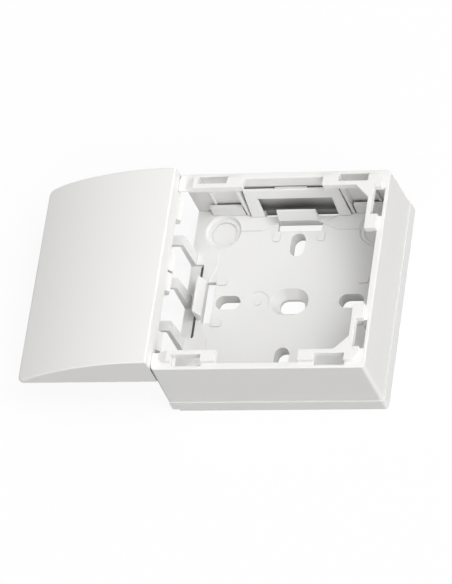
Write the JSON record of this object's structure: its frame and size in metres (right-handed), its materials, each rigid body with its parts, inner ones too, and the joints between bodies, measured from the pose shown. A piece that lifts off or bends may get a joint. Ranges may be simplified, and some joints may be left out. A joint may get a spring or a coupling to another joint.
{
  "type": "trunking side adapter",
  "caption": "Square surface box, open on its left side, with a curved hood over the trunking end, hooked floor plate, drafted surround with raised corner blocks and an entry insert.",
  "frame": {"origin": "centre of the square box on the wall face, midway between the four fixing slots", "axes": "+X to the right along the wall, away from the hood; +Y up the wall; +Z out of the wall, towards the room"},
  "size_m": [0.1454, 0.0888, 0.0386],
  "materials": {
    "shell": "fine matt moulded face",
    "plate": "plain moulded face"
  },
  "bodies": {
    "root": {"base_plate": "plate", "surround_frame": "shell", "side_hood": "shell", "entry_insert": "plate"}
  },
  "joints": []
}
